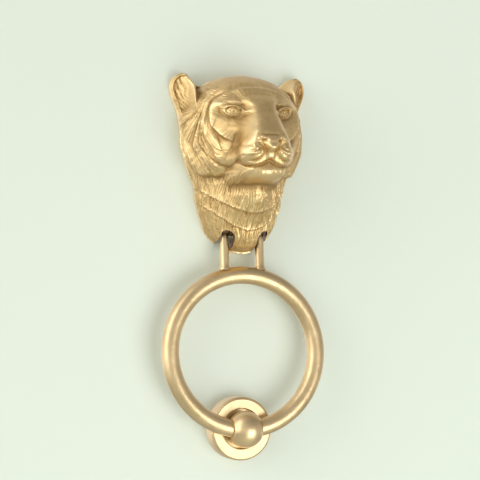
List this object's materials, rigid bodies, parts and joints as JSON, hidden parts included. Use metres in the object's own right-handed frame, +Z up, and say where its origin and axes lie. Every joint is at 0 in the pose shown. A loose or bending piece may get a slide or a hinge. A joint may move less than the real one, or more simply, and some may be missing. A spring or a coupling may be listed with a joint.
{
  "type": "door knocker",
  "caption": "Brass door knocker: a hollow cast big-cat head carries a ring on pivoted rods, and a ball on the ring strikes a separate round cupped plate.",
  "frame": {"origin": "on the door's face, midway between the two fixing studs", "axes": "+Z up the door, +Y into the door along the studs, the knocker's front faces -Y, +X to the viewer's right"},
  "size_m": [0.102, 0.1192, 0.2292],
  "materials": {
    "cast_brass": "satin, aged darker in the recesses",
    "polished_brass": "satin polished",
    "raw_brass": "as machined",
    "steel": "zinc plated"
  },
  "bodies": {
    "fixed": {"head_casting": "cast_brass", "pivot_yoke": "raw_brass", "yoke_screw_left": "steel", "yoke_screw_right": "steel", "pivot_pin": "steel", "pin_clip_left": "steel", "pin_clip_right": "steel", "strike_plate": "polished_brass", "strike_plate_screw": "steel", "fixing_stud_upper": "steel", "fixing_stud_lower": "steel"},
    "knocker": {"hanger_rod_left": "polished_brass", "hanger_rod_right": "polished_brass", "knocker_ring": "polished_brass", "striker_ball": "polished_brass"}
  },
  "joints": [
    {"name": "knocker_swing", "type": "hinge", "parent": "fixed", "child": "knocker", "pos_m": [0, -0.0095, -0.0445], "axis": [-1, 0, 0], "range_deg": [0, 50]}
  ]
}
